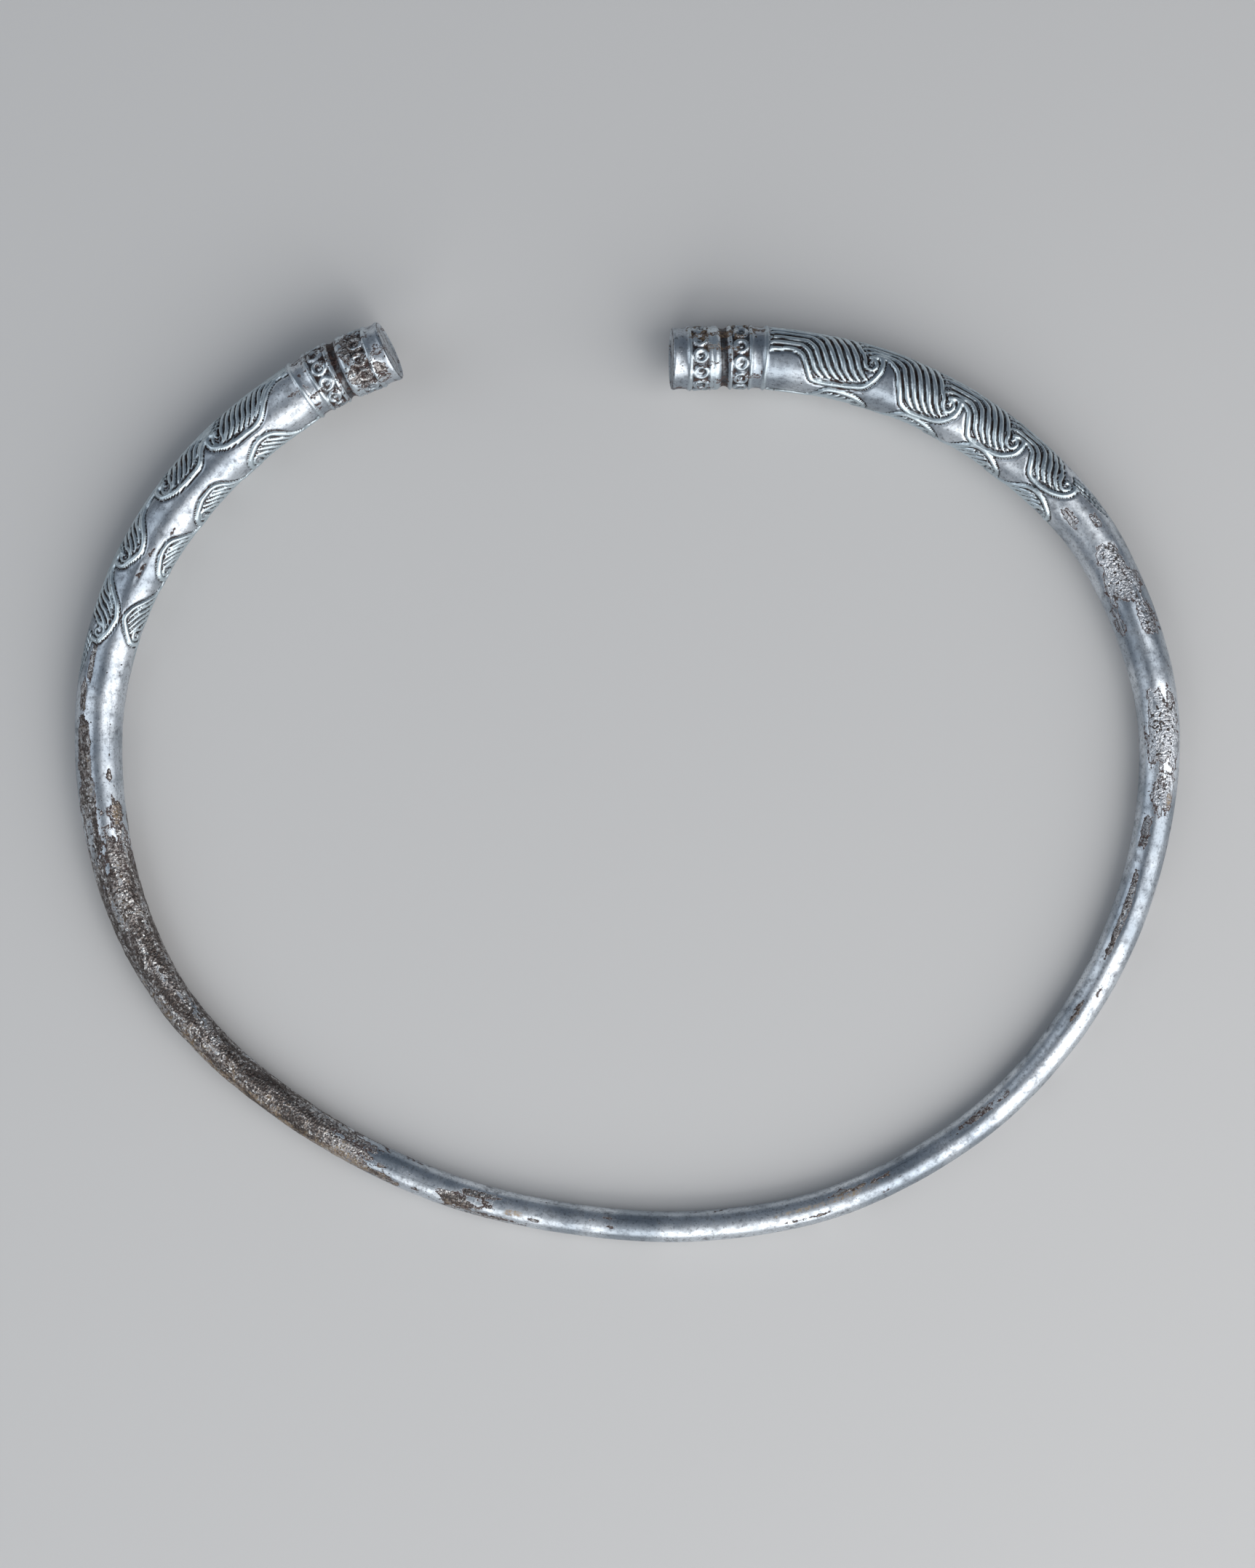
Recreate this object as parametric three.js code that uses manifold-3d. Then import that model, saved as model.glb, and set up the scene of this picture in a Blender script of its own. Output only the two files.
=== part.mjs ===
// A silver torc: an open neck ring made from one solid bar, lying flat on its underside.
// The bar is thin and round at the back of the hoop and swells into two thick arms. Each arm carries
// two rows of ribbed running scrolls with a smooth band between them, and ends in a moulded collar
// with a flat disc end. Millimetres, +Z up, the two ends towards +Y.

import * as THREE from 'three';
import { mergeVertices } from 'three/addons/utils/BufferGeometryUtils.js';
import Module from 'manifold-3d';

// ---- Driving dimensions ----

// The bar's axis in plan, from the right end round the back to the left end:
// [angle about the hoop's middle in degrees, distance from it, thickness of the bar].
const STATIONS = [
  [84.4, 55.8, 8.4], [70, 59.1, 8.4], [55, 63.3, 8.3], [40, 67.1, 7.8], [25, 70.3, 6.8],
  [8, 71.8, 5.9], [-8, 71.0, 5.1], [-25, 69.5, 4.8], [-43, 67.6, 4.5], [-62, 65.2, 4.3],
  [-80, 62.8, 4.25], [-98, 61.5, 4.25], [-116, 62.4, 4.4], [-135, 65.1, 4.5], [-152, 69.0, 4.9],
  [-168, 71.1, 5.9], [-185, 72.3, 6.6], [-200, 72.0, 7.4], [-215, 70.1, 8.3], [-230, 67.4, 8.4],
  [-240.2, 65.2, 8.4],
];

// How the hoop lies: the axis rises gently from the thin back to the thick arms and leans a little to
// the right, so that both arms and the back rest, and each end turns up over its last stretch.
const BACK_HEIGHT = 2.05;      // height of the axis at the back
const ARM_HEIGHT = 4.0;        // height of the axis where the arms rest
const BACK_Y = -61.5;
const ARM_Y = 45;
const SIDE_SLOPE = 0.0018;     // drop of the axis towards +X
const END_REACH = 34;          // length over which an end turns up
const RIGHT_END_RISE = 1.1;
const LEFT_END_RISE = 2.4;

// The collar at each end: its mouldings from the disc outwards, [kind, width along the bar].
const COLLAR = [
  ['rim', 0.6], ['plain', 1.5], ['ridge', 0.6], ['scrolls', 2.15], ['ridge', 0.5], ['roll', 1.0],
  ['hollow', 1.25], ['ridge', 0.55], ['scrolls', 2.15], ['ridge', 0.6], ['plain', 1.45], ['ridge', 0.65],
];
const SWELL = { rim: 0.05, plain: -0.08, ridge: 0.22, scrolls: 0, roll: 0.18, hollow: -0.32 };
const COLLAR_LENGTH = COLLAR.reduce((length, [, width]) => length + width, 0);
const BOSS_COUNT = 11;         // round scrolls in each band of the collar
const BOSS_HEIGHT = 0.22;
const DISC_INSET = 0.2;        // the end's disc lies this far inside its rim
const RIM_WIDTH = 0.45;
const RIM_SLOPE = 0.55;        // width of the slope from the rim down to the disc
const RIM_ROUNDING = 0.1;      // the rim's outer edge is rounded off by this much

// The scroll rows of each arm. Distances run along the bar from its end, and angles go round the bar
// from its top (0) towards the outside of the hoop (90). Each scroll is
// [where its border swings across, where its eye lies, angle of its lowest dip, angle of its eye].
const SCROLLS = {
  right: {
    outer: [[17.8, 28.2, -40, 22], [30.8, 39.8, -47, 5], [41.4, 49.6, -37, 14], [51.4, 58.6, -22, 24]],
    inner: [[20.0, 27.4, -52, -72], [31.2, 38.8, -55, -78], [41.5, 49.2, -38, -68], [51.6, 58.9, -35, -66]],
  },
  left: {
    outer: [[17.4, 27.2, -5, 28], [28.3, 36.5, 10, 42], [40.6, 46.8, 8, 40], [49.8, 57.0, 0, 34]],
    inner: [[17.8, 24.9, -30, -62], [28.5, 36.2, -33, -60], [38.6, 45.9, -30, -62], [49.3, 56.2, -18, -56]],
  },
};
const BAND_MIDDLE = { right: -45, left: -12 };   // the smooth band between the rows
const OUTER_BORDER = 118;      // the rows stop at these angles, and the underside is smooth
const INNER_BORDER = -128;
const UNDERSIDE = [148, 169, 191, 212];          // its edges; it rests on the facet in the middle
const OUTER_RIBS = 8;          // ribs and grooves met on the way across each row
const INNER_RIBS = 6;
const RIB_STEP = 1.04;         // from a rib's crest to the groove beside it
const RIB_RISE = 0.05;
const GROOVE_DEPTH = 0.28;
const BORDER_RISE = 0.2;       // the raised border along each scroll
const BORDER_GROOVE = 0.55;    // its grooves lie this far to either side
const BORDER_FULLNESS = 0.75;  // below 1, a dip is broader than a half wave
const LEAN = 0.45;             // how far the ribs lean back along the bar, for each unit round it
const LEAN_EASE = 13;          // length over which the lean begins and ends
const LEAN_REACH = 9;          // further round the bar than this it grows no more
const TAIL_LENGTH = 7;         // the rows narrow to a point over this length past the last eye
const TAIL_FADE = [-0.4, 0.1]; // where a rib's end begins and ends, as shares of that length

const COLLAR_SIDES = 2 * BOSS_COUNT;
const HOOP_SIDES = 16;
const HOOP_STEP = 5.5;

// ---- The bar's axis ----

const toRadians = THREE.MathUtils.degToRad;
const planPoints = STATIONS.map(([angle, reach]) => new THREE.Vector3(
  reach * Math.cos(toRadians(angle)), reach * Math.sin(toRadians(angle)), 0));
const plan = new THREE.CatmullRomCurve3(planPoints, false, 'catmullrom');
plan.arcLengthDivisions = 2000;
const LENGTH = plan.getLength();
const radii = new THREE.SplineCurve(STATIONS.map(([, , thick], i) => new THREE.Vector2(i, thick / 2)));

const smooth = (low, high, x) => THREE.MathUtils.smoothstep(x, low, high);
const barRadius = (s) => radii.getPoint(plan.getUtoTmapping(0, s)).y;

function axisPoint(s) {
  const point = plan.getPoint(plan.getUtoTmapping(0, s));
  const slope = (ARM_HEIGHT - BACK_HEIGHT) / (ARM_Y - BACK_Y);
  const rise = (distance) => Math.max(0, 1 - distance / END_REACH) ** 2;
  point.z = BACK_HEIGHT + slope * (point.y - BACK_Y) - SIDE_SLOPE * point.x
    + RIGHT_END_RISE * rise(s) + LEFT_END_RISE * rise(LENGTH - s);
  return point;
}

// The bar's section frame at s: its centre, the way to its top and the way to the hoop's outside.
function frameAt(s) {
  const reach = 0.25;          // the axis's direction is taken between points this far to either side
  const ahead = axisPoint(Math.min(s + reach, LENGTH));
  const behind = axisPoint(Math.max(s - reach, 0));
  const along = ahead.sub(behind).normalize();
  const out = new THREE.Vector3(-along.y, along.x, 0).normalize();
  return { centre: axisPoint(s), top: along.clone().cross(out), out };
}

// A point at distance s along the bar, at an angle round it, at some height above the plain bar.
function barPoint(s, angle, height) {
  const { centre, top, out } = frameAt(s);
  const radius = barRadius(s) + height;
  return centre
    .addScaledVector(top, radius * Math.cos(toRadians(angle)))
    .addScaledVector(out, radius * Math.sin(toRadians(angle)));
}

// A ring of points round the bar, from [angle, height, distance] rows in rising order of angle.
function ring(side, rows) {
  return rows.map(([angle, height, distance]) => ({
    angle,
    point: barPoint(side === 'right' ? distance : LENGTH - distance, angle, height),
  }));
}

function evenRing(side, distance, sides, heightAt) {
  const rows = Array.from({ length: sides }, (_, i) => {
    const angle = -180 + i * 360 / sides;
    return [angle, heightAt(i), distance];
  });
  return ring(side, rows);
}

// ---- Collars ----

// Rings of one collar, from the flat disc to the arm: the edge and the middle of each moulding.
function collarRings(side) {
  const rings = [
    evenRing(side, DISC_INSET, COLLAR_SIDES, () => -RIM_WIDTH - RIM_SLOPE),
    evenRing(side, 0, COLLAR_SIDES, () => -RIM_WIDTH),
    evenRing(side, 0, COLLAR_SIDES, () => -RIM_ROUNDING),
  ];
  let distance = 0;
  for (const [kind, width] of COLLAR) {
    const isBoss = (i) => kind === 'scrolls' && i % 2 === 1;
    const middle = (i) => SWELL[kind] + (isBoss(i) ? BOSS_HEIGHT : 0);
    rings.push(evenRing(side, distance + width / 2, COLLAR_SIDES, middle));
    distance += width;
    rings.push(evenRing(side, distance, COLLAR_SIDES, () => 0));
  }
  return rings;
}

// ---- Scroll rows ----

const lastEye = (scrolls) => scrolls[scrolls.length - 1][1];

// The border of a row at a distance along the arm: it dips across the bar once in each scroll and
// returns to the level of the eyes in between.
function borderAngle(scrolls, distance) {
  const scroll = scrolls.find(([, eye]) => distance < eye + 1) ?? scrolls[scrolls.length - 1];
  const [swing, eye, dip, eyeAngle] = scroll;
  const across = THREE.MathUtils.clamp((distance - swing) / (eye - swing), 0, 1);
  return THREE.MathUtils.lerp(eyeAngle, dip, Math.sin(Math.PI * across) ** BORDER_FULLNESS);
}

// How far a point leans back along the arm, so that the rings follow the ribs.
function lean(side, distance, angle) {
  const rowsEnd = lastEye(SCROLLS[side].outer) - LEAN_EASE / 2;
  const eased = smooth(COLLAR_LENGTH, COLLAR_LENGTH + LEAN_EASE, distance)
    * (1 - smooth(rowsEnd, rowsEnd + LEAN_EASE, distance));
  const roundTheBar = toRadians(Math.abs(angle - BAND_MIDDLE[side])) * barRadius(0);
  return -LEAN * eased * Math.min(roundTheBar, LEAN_REACH);
}

// One ring of the scroll rows: ribs of the inner row, its border, the smooth band, the border and the
// ribs of the outer row, and the smooth underside. Every second ring lies in a groove between two
// ribs. Past the last eye the ribs end one after another, the ones at the row's far side last.
function scrollRing(side, distance, isGroove) {
  const { outer, inner } = SCROLLS[side];
  const gap = THREE.MathUtils.radToDeg(BORDER_GROOVE / barRadius(distance));
  const innerEdge = borderAngle(inner, distance);
  const outerEdge = borderAngle(outer, distance);
  const pastTheEye = (distance - lastEye(outer)) / TAIL_LENGTH;
  const fade = (across) => 1 - smooth(across + TAIL_FADE[0], across + TAIL_FADE[1], pastTheEye);
  const ribs = (near, far, count) => Array.from({ length: count }, (_, i) => {
    const across = (i + 1) / (count + 1);
    const height = fade(across) * (isGroove ? -GROOVE_DEPTH : RIB_RISE);
    return [THREE.MathUtils.lerp(near, far, across), height];
  });
  const border = (edge, toRow) => [
    [edge - toRow * gap, 0],
    [edge, BORDER_RISE * fade(0)],
    [edge + toRow * gap, -GROOVE_DEPTH * fade(0)],
  ];
  const bandStep = (outerEdge - innerEdge - 2 * gap) / 3;
  const rows = [
    [INNER_BORDER - gap, 0],
    ...ribs(innerEdge - gap, INNER_BORDER, INNER_RIBS).reverse(),
    ...border(innerEdge, -1).reverse(),
    [innerEdge + gap + bandStep, 0],
    [outerEdge - gap - bandStep, 0],
    ...border(outerEdge, 1),
    ...ribs(outerEdge + gap, OUTER_BORDER, OUTER_RIBS),
    [OUTER_BORDER + gap, 0],
    ...UNDERSIDE.map((angle) => [angle, 0]),
  ];
  return ring(side, rows.map(([angle, height]) => [angle, height, distance + lean(side, distance, angle)]));
}

function scrollRings(side) {
  const rowsLength = lastEye(SCROLLS[side].outer) + TAIL_LENGTH - COLLAR_LENGTH;
  const count = Math.round(rowsLength / RIB_STEP);
  return Array.from({ length: count }, (_, i) => (
    scrollRing(side, COLLAR_LENGTH + (i + 1) * RIB_STEP, i % 2 === 1)));
}

// ---- The whole bar ----

function hoopRings() {
  const start = lastEye(SCROLLS.right.outer) + TAIL_LENGTH + HOOP_STEP / 2;
  const end = LENGTH - lastEye(SCROLLS.left.outer) - TAIL_LENGTH - HOOP_STEP / 2;
  const count = Math.round((end - start) / HOOP_STEP);
  return Array.from({ length: count + 1 }, (_, i) => (
    evenRing('right', THREE.MathUtils.lerp(start, end, i / count), HOOP_SIDES, () => 0)));
}

// Joins the rings into one closed skin. Neighbouring rings may have different numbers of points, so
// the join always takes the next point round the bar from either ring.
function skin(rings) {
  const positions = [];
  const triangles = [];
  const starts = rings.map((points) => {
    const start = positions.length / 3;
    points.forEach(({ point }) => positions.push(point.x, point.y, point.z));
    return start;
  });
  for (let k = 0; k + 1 < rings.length; k += 1) {
    const [near, far] = [rings[k], rings[k + 1]];
    const nearIndex = (i) => starts[k] + (i % near.length);
    const farIndex = (i) => starts[k + 1] + (i % far.length);
    const nextAngle = (points, i) => points[i % points.length].angle + (i >= points.length ? 360 : 0);
    let i = 0;
    let j = 0;
    while (i < near.length || j < far.length) {
      const takeNear = j >= far.length
        || (i < near.length && nextAngle(near, i + 1) + nextAngle(near, i)
          <= nextAngle(far, j + 1) + nextAngle(far, j));
      if (takeNear) {
        triangles.push(nearIndex(i), farIndex(j), nearIndex(i + 1));
        i += 1;
      } else {
        triangles.push(nearIndex(i), farIndex(j), farIndex(j + 1));
        j += 1;
      }
    }
  }
  const cap = (points, start, isFirst) => {
    const centre = points.reduce((sum, { point }) => sum.add(point), new THREE.Vector3())
      .divideScalar(points.length);
    const index = positions.length / 3;
    positions.push(centre.x, centre.y, centre.z);
    for (let i = 0; i < points.length; i += 1) {
      const pair = [start + i, start + (i + 1) % points.length];
      triangles.push(index, ...(isFirst ? pair : pair.reverse()));
    }
  };
  cap(rings[0], starts[0], true);
  cap(rings[rings.length - 1], starts[rings.length - 1], false);
  const geometry = new THREE.BufferGeometry();
  geometry.setAttribute('position', new THREE.Float32BufferAttribute(positions, 3));
  geometry.setIndex(triangles);
  return geometry;
}

// ---- Flat spots ----

const wasm = await Module();
wasm.setup();

function toSolid(geometry) {
  const bare = geometry.clone();
  bare.deleteAttribute('normal');
  bare.deleteAttribute('uv');
  const merged = mergeVertices(bare, 1e-4);
  return new wasm.Manifold(new wasm.Mesh({
    numProp: 3,
    vertProperties: merged.attributes.position.array,
    triVerts: Uint32Array.from(merged.index.array),
  }));
}

function toGeometry(solid) {
  const { vertProperties, triVerts } = solid.getMesh();
  const geometry = new THREE.BufferGeometry();
  geometry.setAttribute('position', new THREE.BufferAttribute(vertProperties, 3));
  geometry.setIndex(new THREE.BufferAttribute(triVerts, 1));
  return geometry;
}

// Cuts off what lies below the floor, which leaves the small flats that the torc rests on.
function flattenUnderside(geometry) {
  const width = 200;
  const depth = 10;
  const floor = new THREE.BoxGeometry(width, width, depth).translate(0, 0, -depth / 2);
  return toGeometry(toSolid(geometry).subtract(toSolid(floor)));
}

const rings = [
  ...collarRings('right'),
  ...scrollRings('right'),
  ...hoopRings(),
  ...scrollRings('left').reverse(),
  ...collarRings('left').reverse(),
];
const silver = new THREE.MeshStandardMaterial({ color: 0xb4bac0, metalness: 1, roughness: 0.32 });
const torcGeometry = flattenUnderside(skin(rings));
torcGeometry.computeBoundingBox();
const middle = torcGeometry.boundingBox.getCenter(new THREE.Vector3());
torcGeometry.translate(-middle.x, -middle.y, 0);
torcGeometry.computeVertexNormals();

const torc = new THREE.Mesh(torcGeometry, silver);
torc.name = 'torc';
const model = new THREE.Group();
model.add(torc);

export default model;
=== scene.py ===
"""Looks of the silver torc: one bar of aged silver, finely carved, lying on a pale studio floor.

The bar is built in millimetres along its axis, from the same stations as the solid, and becomes a
mesh in metres at the end. A place on it is a distance along the bar from one of its two ends and an
angle round it, from its top (0) towards the outside of the hoop (90).
"""

import math
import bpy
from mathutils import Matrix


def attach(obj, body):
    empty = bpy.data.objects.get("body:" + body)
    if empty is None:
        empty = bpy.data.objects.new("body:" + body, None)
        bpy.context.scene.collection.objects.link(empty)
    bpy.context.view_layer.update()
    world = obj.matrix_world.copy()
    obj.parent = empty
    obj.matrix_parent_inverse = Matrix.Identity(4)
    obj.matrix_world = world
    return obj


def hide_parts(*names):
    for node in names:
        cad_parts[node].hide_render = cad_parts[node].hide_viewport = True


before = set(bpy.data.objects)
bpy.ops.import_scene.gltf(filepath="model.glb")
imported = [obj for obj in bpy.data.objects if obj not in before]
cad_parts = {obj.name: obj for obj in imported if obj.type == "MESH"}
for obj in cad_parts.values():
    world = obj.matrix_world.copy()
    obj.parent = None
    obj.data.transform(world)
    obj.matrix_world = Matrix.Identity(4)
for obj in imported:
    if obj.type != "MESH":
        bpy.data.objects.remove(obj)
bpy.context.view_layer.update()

from types import SimpleNamespace

import bpy
import numpy as np
from mathutils import Vector, noise

MM = 0.001
noise.seed_set(1)    # otherwise the clock sets it, and the noise vectors differ from run to run

# ---- The bar, as in the solid ----

# [angle about the hoop's middle, distance from it, thickness], from the right end round the back.
STATIONS = np.array([
    [84.4, 55.8, 8.4], [70, 59.1, 8.4], [55, 63.3, 8.3], [40, 67.1, 7.8], [25, 70.3, 6.8],
    [8, 71.8, 5.9], [-8, 71.0, 5.1], [-25, 69.5, 4.8], [-43, 67.6, 4.5], [-62, 65.2, 4.3],
    [-80, 62.8, 4.25], [-98, 61.5, 4.25], [-116, 62.4, 4.4], [-135, 65.1, 4.5], [-152, 69.0, 4.9],
    [-168, 71.1, 5.9], [-185, 72.3, 6.6], [-200, 72.0, 7.4], [-215, 70.1, 8.3], [-230, 67.4, 8.4],
    [-240.2, 65.2, 8.4],
])
PER_SPAN = 60                      # samples of the axis between two stations

# The axis climbs evenly from the back to the arms, and a little more over the last stretch of each.
BACK_HEIGHT = 2.05
BACK_Y = -61.5
ARM_HEIGHT = 4.0
ARM_Y = 45
SIDE_SLOPE = 0.0018
END_REACH = 34
END_RISE = {"right": 1.1, "left": 2.4}

# A collar's mouldings from its end inwards, with their widths, how far each swells and how round it is.
COLLAR = [
    ("rim", 0.6), ("plain", 1.5), ("ridge", 0.6), ("scrolls", 2.15), ("ridge", 0.5), ("roll", 1.0),
    ("hollow", 1.25), ("ridge", 0.55), ("scrolls", 2.15), ("ridge", 0.6), ("plain", 1.45), ("ridge", 0.65),
]
SWELL = {"rim": 0.05, "plain": -0.08, "ridge": 0.22, "scrolls": 0, "roll": 0.18, "hollow": -0.32}
ROUNDNESS = {"rim": 0.6, "plain": 0.5, "ridge": 0.75, "scrolls": 1, "roll": 0.7, "hollow": 0.8}
COLLAR_LENGTH = sum(width for _, width in COLLAR)
CIRCLE_COUNT = 11
CIRCLE_RADIUS = 0.84
CIRCLE_HALF_WIDTH = 0.27
CIRCLE_RISE = 0.2
CIRCLE_SINK = 0.16                 # how deep the ground lies around and inside the circles
CURL_HALF_WIDTH = 0.17
DISC_INSET = 0.2
DISC_CENTRE = 0.04                 # radius of the last small face in a disc's middle
DISC_RINGS = 7
RIM_WIDTH = 0.45
RIM_BEVEL = 0.1
RIM_ROUNDING = 0.3

# [where the border swings across, where the eye lies, angle of the lowest dip, angle of the eye].
SCROLLS = {
    "right": {
        "outer": [
            (17.8, 28.2, -40, 22), (30.8, 39.8, -47, 5), (41.4, 49.6, -37, 14), (51.4, 58.6, -22, 24),
        ],
        "inner": [
            (20.0, 27.4, -52, -72), (31.2, 38.8, -55, -78), (41.5, 49.2, -38, -68), (51.6, 58.9, -35, -66),
        ],
    },
    "left": {
        "outer": [
            (17.4, 27.2, -5, 28), (28.3, 36.5, 10, 42), (40.6, 46.8, 8, 40), (49.8, 57.0, 0, 34),
        ],
        "inner": [
            (17.8, 24.9, -30, -62), (28.5, 36.2, -33, -60), (38.6, 45.9, -30, -62), (49.3, 56.2, -18, -56),
        ],
    },
}
FIRST_LINE = {"outer": {"right": 17, "left": 50}, "inner": {"right": -86, "left": -84}}
FAR_SIDE = {"outer": 118, "inner": -128}    # where the ribs run out, on the bar's underside
EYE_SHIFT = {"outer": 0, "inner": -12}
BORDER_SLOPE = {"outer": {"right": 2.1, "left": 1.0}, "inner": {"right": 1.2, "left": 1.2}}
RIB_SLOPE = {"outer": 2.1, "inner": 1.5}
SWING_SHIFT = 0.4                  # every border swings across this much later than its row says
FAN = 0.4                          # after the first scroll, ribs crowd towards the line they start from
HOOK_BACK = 2.35                   # the last rib stands this far before its eye
RIBS_BACK = 1.55                   # and the next scroll's ribs begin this far before it
FOOT_AHEAD = 0.75                  # a rib's foot curves on by this much
FOOT_GAP = 0.85                    # and stops this far from the border
TAIL_LENGTH = 7
TAIL_COUNT = 3

# The mesh leans towards the collar on both sides of the plain band, so that it follows the slanting ribs.
BAND_MIDDLE = {"right": -45, "left": -12}
LEAN = 0.45
LEAN_EASE = 13
LEAN_LIMIT = 9

# ---- Finer relief ----

AROUND = math.radians(1) * 4.15    # millimetres round an arm for each degree
RIB_PITCH = {"right": 1.08, "left": 0.95}
RIB_FULLNESS = 0.37                # half a rib's width as a share of the pitch
RIB_RISE = 0.05
BORDER_HALF_WIDTH = 0.45
BORDER_RISE = 0.18
TAIL_RISE = 0.04
GROOVE_DEPTH = 0.34
GROOVE_REACH = 1.5                 # in half-widths of the ridge beside it
RIDGE_FLATNESS = 2.6               # 2 would be a round ridge; more has a flatter top
RIDGE_ROUNDING = 0.8
LINE_ABOVE_EYE = 1.1               # the next border starts this far beyond an eye
FAR_AWAY = 9.0                     # a distance beyond the reach of every line

# How dull the raised mouldings are and how much painted shade, with some rusty tarnish, darkens the hollow
# ones, from 0 to 1.
COLLAR_SATIN = 0.55
COLLAR_SHADE_AND_TARNISH = 0.75
DISC_SHADE_AND_TARNISH = 0.25

# Spacing of the mesh along and round each stretch of the bar.
COLLAR_STEP = 0.19
COLLAR_SIDES = 128
SCROLL_STEP = 0.18
SCROLL_SPACING = 0.205
UNDERSIDE = (FAR_SIDE["inner"] - 4, FAR_SIDE["outer"] + 4)
UNDERSIDE_SPACING = 0.6
HOOP_STEP = 0.56
HOOP_SIDES = 42

# ---- Corrosion and stains ----

ALL_ROUND = (-600, 600)            # so wide that a patch doesn't fade anywhere round the bar

# For each side, [start, stop (millimetres from that end), from angle, to angle, strength].
CRUST = {
    "right": [
        # On the right collar, the crust and brown stain on the outer side, 0 to 110, are partly a real stain
        # and partly painted shade on that side.
        (1.5, 13.4, *ALL_ROUND, 0.3), (1.5, 13, 0, 110, 0.42), (59, 62.5, -38, -2, 0.52),
        (62, 64.5, 10, 34, 0.6), (66.4, 71.5, -25, 35, 0.84), (70.5, 75.2, -45, 60, 0.84),
        (75, 80.5, 5, 62, 0.84), (75, 79, -72, -35, 0.6), (87, 98.5, -42, 55, 0.84),
        (98, 104.5, -30, 48, 0.55), (104, 109.5, -46, -12, 0.72), (112, 127, -34, -10, 0.74),
        (131, 135.5, -24, -4, 0.72), (148, 158, -42, -12, 0.45), (166, 178, -42, -16, 0.42),
        (176, 184, 15, 34, 0.52), (205.5, 208, 2, 18, 0.5),
    ],
    "left": [
        (-1, 13.4, *ALL_ROUND, 0.36), (2.4, 6.3, -75, 80, 0.62), (0.6, 2.6, -60, -10, 0.6),
        (42, 49, -17, -4, 0.52), (57, 63.5, 20, 36, 0.58), (62, 67, 28, 50, 0.65),
        (66, 78, 14, 54, 0.9), (74.1, 75.9, -40, -20, 1), (78, 81.5, -62, -28, 0.8),
        (76, 86, 8, 66, 1), (82.5, 141, *ALL_ROUND, 1), (140, 147, 32, 72, 0.75),
        (147, 153, 28, 50, 0.52), (151.5, 158, -10, 52, 0.72), (154, 161, -40, 20, 0.66),
        (153, 163, 40, 82, 0.7), (164.3, 166.3, 14, 30, 0.65),
    ],
}
STAIN = {
    "right": [
        # On the right collar, the brown stain on the outer side, 0 to 110, is partly a real stain and partly
        # painted shade on that side.
        (1, 13, *ALL_ROUND, 0.12), (1, 13, 0, 110, 0.6), (59, 62.5, -38, -2, 0.25),
        (101, 103.6, 24, 44, 0.95), (130, 136, -24, 0, 0.6), (170, 185, -22, -1, 1),
        (166, 176, -42, -18, 0.5), (176, 184, 15, 34, 0.5),
    ],
    "left": [
        (1, 13, *ALL_ROUND, 0.15), (61, 80, 10, 50, 0.45), (78, 82, -62, -26, 0.75),
        (84, 100, -60, 60, 0.4), (98, 150, -30, 90, 0.5), (108, 150, 25, 80, 0.75),
        (148, 160, 20, 55, 0.65), (161, 164.5, -4, 28, 1),
    ],
}
RUBBED = {"right": [(55, 110, *ALL_ROUND, 1)], "left": []}    # where the crust is rubbed bright
PATCH_EDGE = (0.5, 1.45)           # where a patch begins and ends to fade, in half-sizes
CRUST_SINK = 0.05
INSET = 0.04                       # keeps every lump inside the solid's size

# Unevenness: [swings in a millimetre, height].
DENTS = (0.22, 0.05)
LUMPS = [(0.6, 0.07), (1.5, 0.05)]
LUMPS_FROM = 0.25                  # the strength of crust at which lumps begin
WOBBLE = (0.7, 0.09)               # of the lines, which were cut by hand


def smoothstep(low, high, x):
    t = np.clip((np.asarray(x, float) - low) / (high - low), 0, 1)
    return t * t * (3 - 2 * t)


def spline(points, per_span):
    """A smooth curve through the points, as a row of samples."""
    points = np.asarray(points, float)
    ends = (2 * points[0] - points[1], 2 * points[-1] - points[-2])
    padded = np.vstack([ends[0], points, ends[1]])
    t = (np.arange(per_span) / per_span)[:, None]
    spans = []
    for a, b, c, d in zip(padded, padded[1:], padded[2:], padded[3:]):
        leave, arrive = (c - a) / 2, (d - b) / 2
        spans.append(
            b + t * leave + t**2 * (3 * (c - b) - 2 * leave - arrive) + t**3 * (2 * (b - c) + leave + arrive)
        )
    return np.vstack(spans + [points[-1:]])


def bar_axis():
    """Samples along the bar: distance from the right end, centre x, y and radius."""
    angle = np.radians(STATIONS[:, 0])
    plan = np.column_stack([STATIONS[:, 1] * np.cos(angle), STATIONS[:, 1] * np.sin(angle)])
    line = spline(np.column_stack([plan, STATIONS[:, 2] / 2]), PER_SPAN)
    steps = np.hypot(*np.diff(line[:, :2], axis=0).T)
    return np.concatenate([[0], np.cumsum(steps)]), line


AXIS_DISTANCE, AXIS_LINE = bar_axis()
LENGTH = AXIS_DISTANCE[-1]


def axis_point(s):
    """Centre of the bar at each distance from its right end."""
    x = np.interp(s, AXIS_DISTANCE, AXIS_LINE[:, 0])
    y = np.interp(s, AXIS_DISTANCE, AXIS_LINE[:, 1])
    slope = (ARM_HEIGHT - BACK_HEIGHT) / (ARM_Y - BACK_Y)
    z = BACK_HEIGHT + slope * (y - BACK_Y) - SIDE_SLOPE * x
    for side, distance in (("right", s), ("left", LENGTH - s)):
        z = z + END_RISE[side] * np.clip(1 - distance / END_REACH, 0, 1) ** 2
    return np.stack([x, y, z], axis=-1)


def bar_radius(s):
    return np.interp(s, AXIS_DISTANCE, AXIS_LINE[:, 2])


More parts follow.
